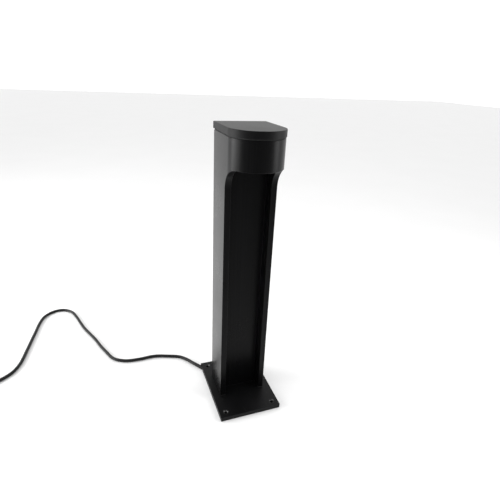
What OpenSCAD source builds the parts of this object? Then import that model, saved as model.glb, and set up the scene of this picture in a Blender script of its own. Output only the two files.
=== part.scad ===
// Bollard light: a column of extruded aluminium with a round front, cut back below its head so that
// a shielded lamp can shine down the recess. It stands on a cast base plate with four anchor holes.
// Origin: the centre of the underside of the base plate. +Z is up and the recess faces -Y.

/* [Column] */
// Overall height above the ground
overall_height = 600; // [420:5:900]
// Width of the column, which is also the diameter of its round front
column_width = 103; // [98:0.5:124]
// Length of the flat sides, from the back face to the start of the round front
side_length = 87; // [82:0.5:104]
// Wall of the wiring chamber at the back
chamber_wall = 3.5; // [2.5:0.25:4.5]
// Wall of the round front of the head
front_wall = 4; // [3:0.25:6]
// Width of each cheek beside the recess
cheek_width = 12; // [10:0.5:14]
// Distance from the back face to the cut face of the cheeks
cheek_depth = 76; // [70:0.5:80]
// Distance from the back face to the panel at the back of the recess
panel_depth = 51.5; // [50:0.5:60]
// Thickness of the panel at the back of the recess
panel_wall = 3.5; // [2.5:0.25:4.5]
// Radius of the cove that carries the cheeks out into the head
cove_radius = 42; // [30:1:44]
// Height of the head, from the end of the cove to the top of the column
head_height = 53; // [48:1:75]
// Rounding of the two upright edges at the back
back_edge_radius = 2; // [1:0.25:4]

/* [Base plate] */
// Width of the base plate
base_width = 136; // [130:1:170]
// Length of the base plate, front to back
base_length = 184; // [170:1:230]
// Thickness of the base plate
base_thickness = 9.5; // [9.5:0.25:14]
// Distance from the back edge of the base plate to the back face of the column
base_margin = 44.5; // [38:0.5:55]
// Distance from each anchor hole to the two nearest edges
anchor_inset = 14; // [12:0.5:15]
// Diameter of the anchor holes
anchor_hole = 7; // [5.5:0.25:8]
// Diameter of the countersink of the anchor holes
anchor_countersink = 11; // [9:0.5:12]

/* [Cap and seals] */
// Thickness of the cap
cap_thickness = 12.5; // [10:0.5:16]
// Overhang of the cap beyond the column
cap_overhang = 1; // [0.5:0.25:2]
// Chamfer of the cap's upper edge
cap_chamfer = 0.6; // [0.4:0.1:1.5]
// Thickness of the seal under the cap
cap_seal_thickness = 2.5; // [1:0.25:3]
// Thickness of the seal under the foot of the column
foot_seal_thickness = 1; // [0.5:0.25:2]
// Distance that both seals sit in from the face of the column
seal_inset = 1.2; // [0.8:0.1:2]

/* [Lamp] */
// Clearance between the lamp and the inside of the head
lamp_clearance = 0.4; // [0.2:0.1:0.8]
// Height of the screw bosses under the cap
cap_boss_height = 7; // [5:0.5:10]
// Height of the cooling fins
fin_height = 8; // [5:0.5:10]
// Thickness of the plate of the heat sink
sink_plate = 5; // [4:0.5:7]
// Number of cooling fins
fin_count = 9; // [7:2:11]
// Thickness of one cooling fin
fin_thickness = 1.6; // [1.2:0.1:2]
// Thickness of the circuit board of the lamp
board_thickness = 1.6; // [1:0.2:2]
// Depth of the reflector
reflector_depth = 14; // [10:0.5:16]
// Wall of the reflector
reflector_wall = 1.5; // [1:0.25:2]
// Thickness of the lens
lens_thickness = 3; // [2.5:0.25:4]
// Thickness of the seal under the lens
lens_seal_thickness = 1; // [0.5:0.25:1.5]
// Wall of the lens frame
frame_wall = 2.5; // [2:0.25:3]
// Width of the lip of the lens frame that carries the lens
frame_lip = 11; // [10:0.5:12]
// Thickness of the lip of the lens frame
frame_lip_thickness = 2.5; // [2:0.25:4]

/* [Gear] */
// Height of the gear tray
tray_height = 290; // [270:5:320]
// Width of the gear tray
tray_width = 78; // [74:1:84]
// Thickness of the sheet of the gear tray
tray_sheet = 1.5; // [1:0.25:2]
// Width of the driver
driver_width = 62; // [50:1:66]
// Depth of the driver
driver_depth = 26; // [22:0.5:27]
// Height of the driver
driver_height = 140; // [110:5:150]
// Height of the bottom of the driver above the base plate
driver_level = 128; // [120:1:135]
// Wall of the driver's case
driver_wall = 2; // [1.5:0.25:2.5]

/* [Cable] */
// Diameter of the supply cable
cable_diameter = 7.5; // [6.5:0.25:7.5]
// Distance from the back edge of the base plate to the point where the cable comes out
cable_exit_inset = 9.75; // [9:0.25:11]
// Diameter of the thick end of the cable sleeve
sleeve_diameter = 8.3; // [8:0.1:8.4]
// Length of the tapered part of the cable sleeve that shows
sleeve_length = 22; // [20:1:30]
// Radius of the cable's bend inside the column
cable_bend = 30; // [28:1:34]
// Mean diameter of the coil that the spare cable is wound into
coil_diameter = 78; // [78:1:90]

/* [Hidden] */
$fn = 64;

// A cut runs past the face it opens by this much
past = 1;
// Running gap that parts the pieces which are not fastened to each other
gap = 0.3;
// Radial play of a screw or pin in its hole
play = 0.05;

// --- column ---
half_width = column_width / 2;
column_back = base_length / 2 - base_margin;
round_centre = column_back - side_length;
column_front = round_centre - half_width;
cheek_face = column_back - cheek_depth;
panel_front = column_back - panel_depth;
panel_back = panel_front + panel_wall;
chamber_back = column_back - chamber_wall;
cavity_half = half_width - cheek_width;
column_foot = base_thickness + foot_seal_thickness;
cap_underside = overall_height - cap_thickness;
column_top = cap_underside - cap_seal_thickness;
head_bottom = column_top - head_height;
chamber_corner = 3;
port_radius = 2.1;
port_boss_radius = 5;
front_port = [half_width - cheek_width / 2, panel_front - cheek_width];
back_port_x = 24;
back_port = [back_port_x, chamber_back - port_boss_radius + 1];
PORTS = [for (side = [-1, 1], port = [front_port, back_port]) [side * port[0], port[1]]];

// --- base plate ---
base_corner = 1;
anchor_x = base_width / 2 - anchor_inset;
anchor_y = base_length / 2 - anchor_inset;
screw_head_radius = 4.5;
screw_head_height = 3.2;
screw_recess = screw_head_height + 0.8;

// --- cable under the base plate ---
cable_radius = cable_diameter / 2;
sleeve_radius = sleeve_diameter / 2;
// Direction in which the cable runs in from the left edge of the plate
cable_angle = -55;
cable_way = [cos(cable_angle), sin(cable_angle)];
cable_exit = [-base_width / 2, base_length / 2 - cable_exit_inset];
cable_level = sleeve_radius;
channel_half = sleeve_radius + 0.1;
channel_depth = 2 * sleeve_radius + 0.1;
sleeve_seat = 10;
channel_run = 78;
bend_start = channel_run - cable_bend;
cable_rise = cable_exit + channel_run * cable_way;
// The opening starts where the bend lifts the cable through the top of the plate
way_out_start = bend_start + 3;
way_out_half = cable_radius + 1.5;
way_out_radius = 12;

// --- cap ---
tongue_half = back_port[0] - port_boss_radius - 1;
tongue_depth = 6;
tongue_height = 13;
grub_radius = 2;
grub_length = 8;
grub_x = 12;
grub_level = cap_underside - 8.5;
rib_width = 3;
rib_length = 20;
rib_height = 8;

// --- lamp, from the top down ---
boss_radius = 4;
boss_bottom = cap_underside - cap_boss_height;
sink_top = boss_bottom - fin_height;
sink_bottom = sink_top - sink_plate;
board_bottom = sink_bottom - board_thickness;
reflector_bottom = board_bottom - reflector_depth;
lens_bottom = reflector_bottom - lens_thickness;
lens_seal_bottom = lens_bottom - lens_seal_thickness;
frame_bottom = lens_seal_bottom - frame_lip_thickness;
m3_radius = 1.5;
m3_head_radius = 2.75;
m3_head_height = 1.8;
lamp_back = panel_front - lamp_clearance;
lamp_half = cavity_half - lamp_clearance;
cavity_radius = half_width - front_wall;
lens_inset = frame_lip - 3.4;
reflector_inset = frame_lip - 2;
sink_screw_x = lamp_half - 7;
SINK_SCREWS = [
    for (x = [-sink_screw_x, sink_screw_x], y = [lamp_back - 14, round_centre - 14]) [x, y]
];
board_half = 19;
board_back = lamp_back - 14;
board_front = round_centre - 24;
board_middle = (board_front + board_back) / 2;
board_screw_x = board_half - 3.5;
BOARD_SCREWS = [
    for (x = [-board_screw_x, board_screw_x], y = [board_back - 3.5, board_front + 3.5]) [x, y]
];
emitter_height = 0.8;
emitter_size = 3.2;
emitter_step = [8, 9];
EMITTERS = [
    for (column = [-1.5:1:1.5], row = [-1:1:1])
        [column * emitter_step[0], board_middle + row * emitter_step[1]]
];
frame_boss_radius = 3.2;
frame_boss_inset = frame_boss_radius + lamp_clearance + 0.2;
frame_screw_reach = 4;
frame_front_angle = 24;
frame_front_radius = cavity_radius - frame_boss_inset;
FRAME_SCREWS = [
    for (side = [-1, 1]) each [
        [side * (cavity_half - frame_boss_inset), panel_front - frame_boss_inset],
        [side * (cavity_half - frame_boss_inset), round_centre + 4],
        [
            side * frame_front_radius * sin(frame_front_angle),
            round_centre - frame_front_radius * cos(frame_front_angle)
        ]
    ]
];
wire_x = 2.5;
wire_y = board_back - 5;
wire_slot_radius = 5;
wire_level = boss_bottom - 2;
panel_hole_radius = 4;
fin_reach = 28.5;
fins_back = wire_y - 8;

// --- gear ---
tray_back = panel_back + 2;
tray_face = tray_back + tray_sheet;
tray_half = tray_width / 2;
tray_foot_x = -3;
tray_foot_width = 40;
tray_foot_depth = 27;
TRAY_SCREWS = [[tray_foot_x + 8, tray_face + 15], [tray_foot_x + 32, tray_face + 15]];
m4_radius = 2;
m4_head_radius = 3.5;
m4_head_height = 2.4;
driver_bottom = base_thickness + driver_level;
driver_top = driver_bottom + driver_height;
cover_thickness = 2;
driver_ear = 9;
ear_thickness = 3;
driver_board_gap = 3;
driver_board_thickness = 1.6;
clamp_bottom = base_thickness + 46;
clamp_height = 14;
clamp_half = 11;
clamp_strap_depth = 6;
clamp_screw_x = cable_radius + 4.2;
sheath_end = clamp_bottom + clamp_height + 8;
terminal_bottom = sheath_end + 18;
terminal_width = 26;
terminal_depth = 17;
terminal_height = 20;
terminal_x = cable_rise[0] + 3;
terminal_pole = 5.5;
terminal_entry = tray_face + 8;
core_radius = 1.3;
core_ring = 2.1;
lead_radius = 1.1;
lug_x = 14;
lug_level = sheath_end;
lug_thickness = 1;
lug_radius = 4.5;

// --- spare cable ---
cord_level = cable_radius;
// The sheath is one length of cable, drawn in two parts that meet inside the edge of the plate
cord_join = 6;
// Points along the middle of the cord, from inside the plate's edge to the coil on the ground
CORD_ROUTE = [
    each [for (run = [cord_join, -8, -22, -36, -50]) [
        cable_exit[0] + run * cable_way[0], cable_exit[1] + run * cable_way[1], cable_level
    ]],
    [-113, 140, cord_level],
    [-140, 151, cord_level],
    [-174, 161, cord_level],
    [-212, 160, cord_level],
    [-246, 164, cord_level],
    [-273, 181, cord_level],
    [-289, 212, cord_level],
    [-303, 244, cord_level],
    [-315, 276, cord_level],
    [-329, 307, cord_level],
    [-343, 338, cord_level],
    [-354, 369, cord_level],
    [-365, 403, cord_level],
    [-380, 436, cord_level],
    [-404, 454, cord_level],
    [-431, 451, cord_level],
    [-453, 429, cord_level],
    [-463, 395, cord_level],
    [-468, 361, cord_level],
    [-473, 328, cord_level],
    [-478, 295, cord_level],
    [-483, 262, cord_level],
    [-489, 228, cord_level],
    [-501, 199, cord_level],
    [-520, 180, cord_level],
    [-543, 166, 4.2]
];
coil_centre = [-590, 183];
coil_base = 0.8;
coil_inner = coil_diameter / 2 - cable_diameter;
coil_outer = coil_diameter / 2 + cable_diameter;
coil_height = 2 * cable_diameter;
// The free end comes off the top of the coil and runs down to the ground
TAIL_ROUTE = [
    [-632.8, 209, 10.7],
    [-633.4, 218.5, 8.6],
    [-634.4, 228, 6],
    [-636, 237, 4.2],
    [-638, 246, cord_level],
    [-640, 255, cord_level]
];
tail_end = TAIL_ROUTE[5];
tie_angle = 14;
tie_thickness = 0.8;
TIE_ANGLES = [60, 240];
ferrule_length = 8;
ferrule_radius = 0.8;
collar_length = 5;
collar_radius = 1.6;
// Each end core: how far its tip lies to the side of the cord, and its length
end_spread = 11;
end_length = 42;
tail_way = (tail_end - TAIL_ROUTE[4]) / norm(tail_end - TAIL_ROUTE[4]);
tail_side = [tail_way[1], -tail_way[0], 0];

// ---------------------------------------------------------------- shared shapes

// Rectangle with round corners, from its lowest corner
module rounded_rectangle(width, length, radius) {
    translate([radius, 0]) square([width - 2 * radius, length]);
    translate([0, radius]) square([width, length - 2 * radius]);
    for (x = [radius, width - radius], y = [radius, length - radius])
        translate([x, y]) circle(r = radius);
}

// Outline of the column, grown by a distance: flat back and sides, and a half-round front
module column_outline(grow = 0) {
    half = half_width + grow;
    depth = column_back + grow - round_centre;
    translate([0, round_centre]) circle(r = half, $fn = 128);
    translate([-half, round_centre]) square([2 * half, depth - back_edge_radius]);
    translate([-half + back_edge_radius, round_centre])
        square([2 * (half - back_edge_radius), depth]);
    for (side = [-1, 1])
        translate([side * (half - back_edge_radius), column_back + grow - back_edge_radius])
            circle(r = back_edge_radius);
}

// Outline parallel to the inside of the head, in front of the panel
module cavity_outline(inset = 0) {
    intersection() {
        translate([-cavity_half + inset, column_front])
            square([2 * (cavity_half - inset), panel_front - inset - column_front]);
        union() {
            translate([0, round_centre]) circle(r = cavity_radius - inset, $fn = 128);
            translate([-half_width, round_centre]) square([column_width, side_length]);
        }
    }
}

// Section of the hollow column: the cavity of the head and recess, the wiring chamber, four ports
module column_section(inset = 0) {
    chamber_half = half_width - chamber_wall;
    difference() {
        column_outline(-inset);
        cavity_outline();
        difference() {
            translate([-chamber_half, panel_back])
                rounded_rectangle(2 * chamber_half, chamber_back - panel_back, chamber_corner);
            for (side = [-1, 1])
                translate([side * back_port[0], back_port[1]]) circle(r = port_boss_radius);
        }
        for (port = PORTS)
            translate(port) circle(r = port_radius);
    }
}

// Countersunk or plain screw standing on its tip at the origin, with its head at the top
module pan_screw(radius, length, head_radius, head_height) {
    cylinder(r = radius - play, h = length);
    translate([0, 0, length]) cylinder(r = head_radius, h = head_height);
}

function unit(v) = v / norm(v);

// Point at t along the smooth curve between b and c, with neighbours a and d
function curve_point(a, b, c, d, t) =
    (2 * b + (c - a) * t + (2 * a - 5 * b + 4 * c - d) * t * t
        + (3 * b - a - 3 * c + d) * t * t * t) / 2;

// A smooth line through points, with the given number of steps between neighbours
function smooth_line(points, steps) =
    let (last = len(points) - 1,
        all = concat([2 * points[0] - points[1]], points, [2 * points[last] - points[last - 1]]))
    concat(
        [for (i = [1:last], k = [0:steps - 1])
            curve_point(all[i - 1], all[i], all[i + 1], all[i + 2], k / steps)],
        [points[last]]
    );

function heading(line, i) = unit(line[min(i + 1, len(line) - 1)] - line[max(i - 1, 0)]);

function ring_points(centre, along, hint, radius, sides) =
    let (across = unit(cross(hint, along)), up = cross(along, across))
    [for (k = [0:sides - 1])
        centre + radius * (cos(360 * k / sides) * across + sin(360 * k / sides) * up)];

// Round tube along a smooth line through points; hint is a direction the line never takes
module swept_tube(points, radius, hint = [0, 0, 1], sides = 10, steps = 2) {
    line = smooth_line(points, steps);
    rings = len(line);
    polyhedron(
        points = [for (i = [0:rings - 1])
            each ring_points(line[i], heading(line, i), hint, radius, sides)],
        faces = concat(
            [[for (k = [0:sides - 1]) k]],
            [for (i = [0:rings - 2], k = [0:sides - 1])
                let (next = (k + 1) % sides)
                [(i + 1) * sides + k, (i + 1) * sides + next, i * sides + next, i * sides + k]],
            [[for (k = [sides - 1:-1:0]) (rings - 1) * sides + k]]
        )
    );
}

// Places its children on the cable's line under the plate: x runs inward from the plate's edge
module on_cable_line() {
    translate(cable_exit) rotate([0, 0, cable_angle]) children();
}

// ---------------------------------------------------------------- base and column

module base_plate() {
    sink = (anchor_countersink - anchor_hole) / 2;
    color([0.13, 0.13, 0.14])
        difference() {
            translate([-base_width / 2, -base_length / 2])
                linear_extrude(base_thickness)
                    rounded_rectangle(base_width, base_length, base_corner);
            for (x = [-anchor_x, anchor_x], y = [-anchor_y, anchor_y])
                translate([x, y, -past]) {
                    cylinder(d = anchor_hole, h = base_thickness + 2 * past);
                    translate([0, 0, past + base_thickness - sink])
                        cylinder(d1 = anchor_hole, d2 = anchor_countersink, h = sink);
                    translate([0, 0, past + base_thickness])
                        cylinder(d = anchor_countersink, h = past);
                }
            for (port = PORTS)
                translate([port[0], port[1], -past]) {
                    cylinder(r = port_radius + gap, h = base_thickness + 2 * past);
                    cylinder(r = screw_head_radius + gap, h = screw_recess + past);
                }
            on_cable_line() {
                translate([-3 * channel_half, -channel_half, -past])
                    cube([bend_start + 3 * channel_half, 2 * channel_half, channel_depth + past]);
                translate([way_out_start, -way_out_half, -past])
                    cube([cable_bend - 3, 2 * way_out_half, base_thickness + 2 * past]);
                translate([bend_start - past, -way_out_half, -past])
                    cube([cable_bend, 2 * way_out_half, channel_depth + past]);
                translate([channel_run, 0, -past])
                    cylinder(r = way_out_radius, h = base_thickness + 2 * past);
            }
            for (spot = TRAY_SCREWS)
                translate([spot[0], spot[1], base_thickness - 7])
                    cylinder(r = m4_radius, h = 7 + past);
        }
}

module foot_seal() {
    color([0.05, 0.05, 0.05])
        translate([0, 0, base_thickness])
            linear_extrude(foot_seal_thickness)
                difference() {
                    column_section(seal_inset);
                    translate([-half_width, column_front])
                        square([column_width, cheek_face - seal_inset - column_front]);
                }
}

// Space in front of the cheeks, closed at the top by the cove, as an outline in Y and Z
module cove_outline() {
    start = column_foot - past;
    cove_centre = [cheek_face - cove_radius, head_bottom - cove_radius];
    translate([column_front - past, start])
        square([cheek_face - column_front + past, cove_centre[1] - start]);
    translate([column_front - past, start])
        square([cove_centre[0] - column_front + past, head_bottom - start]);
    translate(cove_centre) circle(r = cove_radius, $fn = 128);
}

module column() {
    color([0.14, 0.14, 0.15])
        difference() {
            translate([0, 0, column_foot]) linear_extrude(column_top - column_foot) column_section();
            translate([-half_width - past, 0, 0])
                rotate([90, 0, 90])
                    linear_extrude(column_width + 2 * past)
                        cove_outline();
            translate([0, panel_front - past, wire_level])
                rotate([-90, 0, 0]) cylinder(r = panel_hole_radius, h = panel_wall + 2 * past);
            for (side = [-1, 1])
                translate([side * grub_x, chamber_back - past, grub_level])
                    rotate([-90, 0, 0]) cylinder(r = grub_radius, h = chamber_wall + 2 * past);
        }
}

module column_screws() {
    length = 22;
    color([0.7, 0.7, 0.72])
        for (port = PORTS)
            translate([port[0], port[1], screw_recess]) {
                cylinder(r = port_radius - play, h = length);
                translate([0, 0, -screw_head_height])
                    difference() {
                        cylinder(r = screw_head_radius, h = screw_head_height);
                        translate([0, 0, -past]) cylinder(r = 2.3, h = 2 + past, $fn = 6);
                    }
            }
}

// ---------------------------------------------------------------- cap

module top_cap() {
    half = half_width + cap_overhang;
    edge = [
        [0, 0], [half, 0], [half, cap_thickness - cap_chamfer],
        [half - cap_chamfer, cap_thickness], [0, cap_thickness]
    ];
    back = column_back + cap_overhang;
    rib_x = half_width - chamber_wall - gap - rib_width;
    color([0.15, 0.15, 0.16])
        difference() {
            union() {
                translate([0, round_centre, cap_underside])
                    rotate_extrude($fn = 128) polygon(edge);
                intersection() {
                    translate([0, back, cap_underside])
                        rotate([90, 0, 0])
                            linear_extrude(back - round_centre)
                                polygon(concat(edge, [
                                    [-half + cap_chamfer, cap_thickness],
                                    [-half, cap_thickness - cap_chamfer], [-half, 0]
                                ]));
                    translate([-half, 0, cap_underside])
                        rotate([90, 0, 90])
                            linear_extrude(2 * half)
                                polygon([
                                    [round_centre, 0], [back, 0], [back, cap_thickness - cap_chamfer],
                                    [back - cap_chamfer, cap_thickness],
                                    [round_centre, cap_thickness]
                                ]);
                }
                for (spot = SINK_SCREWS)
                    translate([spot[0], spot[1], boss_bottom])
                        cylinder(r = boss_radius, h = cap_boss_height + past);
                translate([
                    -tongue_half, chamber_back - gap - tongue_depth, cap_underside - tongue_height
                ])
                    cube([2 * tongue_half, tongue_depth, tongue_height + past]);
                for (x = [-rib_x - rib_width, rib_x])
                    translate([x, panel_back + 8, cap_underside - rib_height])
                        cube([rib_width, rib_length, rib_height + past]);
            }
            for (spot = SINK_SCREWS)
                translate([spot[0], spot[1], boss_bottom - past])
                    cylinder(r = m3_radius, h = cap_boss_height + past);
            for (side = [-1, 1])
                translate([side * grub_x, chamber_back - gap - tongue_depth - past, grub_level])
                    rotate([-90, 0, 0]) cylinder(r = grub_radius, h = tongue_depth + 2 * past);
        }
}

module cap_seal() {
    color([0.04, 0.04, 0.04])
        translate([0, 0, column_top])
            linear_extrude(cap_seal_thickness)
                column_section(seal_inset);
}

module cap_grub_screws() {
    color([0.5, 0.5, 0.52])
        for (side = [-1, 1])
            translate([side * grub_x, column_back - play, grub_level])
                rotate([90, 0, 0])
                    difference() {
                        cylinder(r = grub_radius - play, h = grub_length);
                        translate([0, 0, -past]) cylinder(r = 1.1, h = 3 + past, $fn = 6);
                    }
}

// ---------------------------------------------------------------- lamp

module heat_sink() {
    fins_front = round_centre - fin_reach;
    fin_span = 2 * (sink_screw_x - boss_radius - 2);
    fin_pitch = (fin_span - fin_thickness) / (fin_count - 1);
    color([0.62, 0.62, 0.64])
        difference() {
            union() {
                translate([0, 0, sink_bottom])
                    linear_extrude(sink_plate) cavity_outline(lamp_clearance);
                for (i = [0:fin_count - 1])
                    translate([-fin_span / 2 + i * fin_pitch, fins_front, sink_top - past])
                        cube([fin_thickness, fins_back - fins_front, fin_height - gap + past]);
                for (spot = SINK_SCREWS)
                    translate([spot[0], spot[1], sink_top - past])
                        cylinder(r = boss_radius, h = fin_height + past);
            }
            for (spot = SINK_SCREWS)
                translate([spot[0], spot[1], sink_bottom - past]) {
                    cylinder(r = m3_radius, h = sink_plate + fin_height + 2 * past);
                    cylinder(r = m3_head_radius + gap, h = m3_head_height + past);
                }
            for (spot = concat(BOARD_SCREWS, FRAME_SCREWS))
                translate([spot[0], spot[1], sink_bottom - past])
                    cylinder(r = m3_radius, h = frame_screw_reach + past);
            translate([0, wire_y, sink_bottom - past])
                cylinder(r = wire_slot_radius, h = sink_plate + 2 * past);
        }
}

module heat_sink_screws() {
    shank = sink_plate - m3_head_height + fin_height + cap_boss_height - 2;
    color([0.7, 0.7, 0.72])
        for (spot = SINK_SCREWS)
            translate([spot[0], spot[1], sink_bottom])
                difference() {
                    union() {
                        cylinder(r = m3_head_radius, h = m3_head_height);
                        translate([0, 0, m3_head_height])
                            cylinder(r = m3_radius - play, h = shank);
                    }
                    translate([0, 0, -past]) cylinder(r = 1.15, h = 1.1 + past, $fn = 6);
                }
}

module led_board() {
    color([0.92, 0.92, 0.9])
        difference() {
            translate([-board_half, board_front, board_bottom])
                linear_extrude(board_thickness)
                    rounded_rectangle(2 * board_half, board_back - board_front, 1.5);
            for (spot = BOARD_SCREWS)
                translate([spot[0], spot[1], board_bottom - past])
                    cylinder(r = m3_radius + 0.1, h = board_thickness + 2 * past);
        }
}

module led_emitters() {
    color([0.95, 0.85, 0.35])
        for (spot = EMITTERS)
            translate([
                spot[0] - emitter_size / 2, spot[1] - emitter_size / 2,
                board_bottom - emitter_height
            ])
                cube([emitter_size, emitter_size, emitter_height]);
}

module board_screws() {
    length = board_thickness + frame_screw_reach - 0.5;
    color([0.7, 0.7, 0.72])
        for (spot = BOARD_SCREWS)
            translate([spot[0], spot[1], board_bottom])
                difference() {
                    union() {
                        cylinder(r = m3_radius - play, h = length);
                        translate([0, 0, -m3_head_height])
                            cylinder(r = m3_head_radius, h = m3_head_height);
                    }
                    translate([0, 0, -m3_head_height - past])
                        cylinder(r = 1.15, h = 1.1 + past, $fn = 6);
                }
}

module reflector() {
    window = emitter_size + 1.2;
    color([0.93, 0.93, 0.92])
        difference() {
            translate([0, 0, reflector_bottom])
                linear_extrude(reflector_depth) cavity_outline(reflector_inset);
            translate([0, 0, reflector_bottom - past])
                linear_extrude(reflector_depth - reflector_wall + past)
                    cavity_outline(reflector_inset + reflector_wall);
            for (spot = EMITTERS)
                translate([
                    spot[0] - window / 2, spot[1] - window / 2, board_bottom - reflector_wall - past
                ])
                    cube([window, window, reflector_wall + 2 * past]);
            for (spot = BOARD_SCREWS)
                translate([spot[0], spot[1], board_bottom - reflector_wall - past])
                    cylinder(r = m3_head_radius + gap, h = reflector_wall + 2 * past);
        }
}

module lens() {
    color([0.9, 0.92, 0.92, 0.6])
        translate([0, 0, lens_bottom]) linear_extrude(lens_thickness) cavity_outline(lens_inset);
}

module lens_seal() {
    color([0.85, 0.85, 0.83])
        translate([0, 0, lens_seal_bottom])
            linear_extrude(lens_seal_thickness)
                difference() {
                    cavity_outline(lens_inset);
                    cavity_outline(frame_lip - 0.6);
                }
}

module lens_frame() {
    height = sink_bottom - frame_bottom;
    head_sink = 1.8;
    color([0.1, 0.1, 0.1])
        difference() {
            translate([0, 0, frame_bottom])
                difference() {
                    union() {
                        linear_extrude(frame_lip_thickness)
                            difference() {
                                cavity_outline(lamp_clearance);
                                cavity_outline(frame_lip);
                            }
                        linear_extrude(height)
                            difference() {
                                cavity_outline(lamp_clearance);
                                cavity_outline(lamp_clearance + frame_wall);
                            }
                        intersection() {
                            linear_extrude(height) cavity_outline(lamp_clearance);
                            for (spot = FRAME_SCREWS)
                                translate(spot) cylinder(r = frame_boss_radius, h = height);
                        }
                    }
                    for (spot = FRAME_SCREWS)
                        translate([spot[0], spot[1], -past])
                            cylinder(r = m3_radius + 0.1, h = height + 2 * past);
                    for (spot = FRAME_SCREWS)
                        translate([spot[0], spot[1], -past])
                            cylinder(r = m3_head_radius + 0.1, h = head_sink + past);
                }
        }
}

module lens_frame_screws() {
    head_sink = 1.8;
    shank = sink_bottom - frame_bottom - head_sink + frame_screw_reach - 0.5;
    color([0.7, 0.7, 0.72])
        for (spot = FRAME_SCREWS)
            translate([spot[0], spot[1], frame_bottom + head_sink])
                difference() {
                    union() {
                        cylinder(r = m3_radius - play, h = shank);
                        translate([0, 0, -m3_head_height + 0.1])
                            cylinder(r = m3_head_radius, h = m3_head_height - 0.1);
                    }
                    translate([0, 0, -m3_head_height - past])
                        cylinder(r = 1.15, h = 1.2 + past, $fn = 6);
                }
}

module panel_grommet() {
    bore = 3;
    lip = 1.5;
    lip_radius = panel_hole_radius + 1.2;
    color([0.06, 0.06, 0.06])
        translate([0, panel_front - lip, wire_level])
            rotate([-90, 0, 0])
                difference() {
                    union() {
                        cylinder(r = panel_hole_radius, h = panel_wall + 2 * lip);
                        cylinder(r = lip_radius, h = lip);
                        translate([0, 0, lip + panel_wall])
                            cylinder(r = lip_radius, h = lip);
                    }
                    translate([0, 0, -past]) cylinder(r = bore, h = panel_wall + 2 * (lip + past));
                }
}

// ---------------------------------------------------------------- gear

module gear_tray() {
    color([0.72, 0.73, 0.75])
        difference() {
            union() {
                translate([-tray_half, tray_back, base_thickness])
                    cube([tray_width, tray_sheet, tray_height]);
                translate([tray_foot_x, tray_back, base_thickness])
                    cube([tray_foot_width, tray_foot_depth, tray_sheet]);
            }
            for (spot = TRAY_SCREWS)
                translate([spot[0], spot[1], base_thickness - past])
                    cylinder(r = m4_radius + 0.2, h = tray_sheet + 2 * past);
            for (x = [-clamp_screw_x, clamp_screw_x])
                translate([cable_rise[0] + x, tray_back - past, clamp_bottom + clamp_height / 2])
                    rotate([-90, 0, 0]) cylinder(r = m3_radius, h = tray_sheet + 2 * past);
            for (z = [driver_bottom - driver_ear / 2, driver_top + driver_ear / 2])
                translate([0, tray_back - past, z])
                    rotate([-90, 0, 0]) cylinder(r = m3_radius, h = tray_sheet + 2 * past);
            translate([lug_x, tray_back - past, lug_level])
                rotate([-90, 0, 0]) cylinder(r = m3_radius, h = tray_sheet + 2 * past);
        }
}

module gear_tray_screws() {
    length = 7;
    color([0.7, 0.7, 0.72])
        for (spot = TRAY_SCREWS)
            translate([spot[0], spot[1], base_thickness + tray_sheet - length])
                pan_screw(m4_radius, length, m4_head_radius, m4_head_height);
}

module driver_case() {
    depth = driver_depth - cover_thickness;
    color([0.9, 0.9, 0.88])
        difference() {
            union() {
                translate([-driver_width / 2, tray_face, driver_bottom])
                    cube([driver_width, depth, driver_height]);
                for (z = [driver_bottom - driver_ear, driver_top - past])
                    translate([-9, tray_face, z])
                        cube([18, ear_thickness, driver_ear + past]);
            }
            translate([
                -driver_width / 2 + driver_wall, tray_face + driver_wall, driver_bottom + driver_wall
            ])
                cube([
                    driver_width - 2 * driver_wall, depth, driver_height - 2 * driver_wall
                ]);
            for (z = [driver_bottom - driver_ear / 2, driver_top + driver_ear / 2])
                translate([0, tray_face - past, z])
                    rotate([-90, 0, 0])
                        cylinder(r = m3_radius + 0.1, h = ear_thickness + 2 * past);
        }
}

module driver_cover() {
    rim = 1.5;
    inner = driver_width - 2 * driver_wall - 2 * play;
    face = tray_face + driver_depth - cover_thickness;
    color([0.86, 0.86, 0.84]) {
        translate([-driver_width / 2, face, driver_bottom])
            cube([driver_width, cover_thickness, driver_height]);
        translate([-inner / 2, face - rim, driver_bottom + driver_wall + play])
            cube([inner, rim, driver_height - 2 * driver_wall - 2 * play]);
    }
}

module driver_board() {
    margin = driver_wall + 0.4;
    y = tray_face + driver_wall;
    color([0.1, 0.4, 0.2]) {
        translate([-driver_width / 2 + margin, y + driver_board_gap, driver_bottom + margin])
            cube([
                driver_width - 2 * margin, driver_board_thickness, driver_height - 2 * margin
            ]);
        for (x = [-driver_width / 2 + 7, driver_width / 2 - 7],
            z = [driver_bottom + 8, driver_top - 8])
            translate([x, y, z]) rotate([-90, 0, 0]) cylinder(r = 2, h = driver_board_gap);
    }
}

module driver_transformer() {
    y = tray_face + driver_wall + driver_board_gap + driver_board_thickness;
    size = 22;
    depth = 13;
    color([0.85, 0.75, 0.3])
        translate([-size / 2, y, driver_bottom + driver_height / 2 - size / 2])
            cube([size, depth, size]);
}

module driver_capacitors() {
    y = tray_face + driver_wall + driver_board_gap + driver_board_thickness;
    radius = 5;
    length = 13;
    color([0.1, 0.12, 0.3])
        for (x = [-14, 14], z = [driver_bottom + 28, driver_top - 28])
            translate([x, y, z]) rotate([-90, 0, 0]) cylinder(r = radius, h = length);
}

module driver_screws() {
    length = ear_thickness + tray_sheet + 1;
    color([0.7, 0.7, 0.72])
        for (z = [driver_bottom - driver_ear / 2, driver_top + driver_ear / 2])
            translate([0, tray_face + ear_thickness - length, z])
                rotate([-90, 0, 0])
                    pan_screw(m3_radius, length, m3_head_radius, m3_head_height);
}

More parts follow.
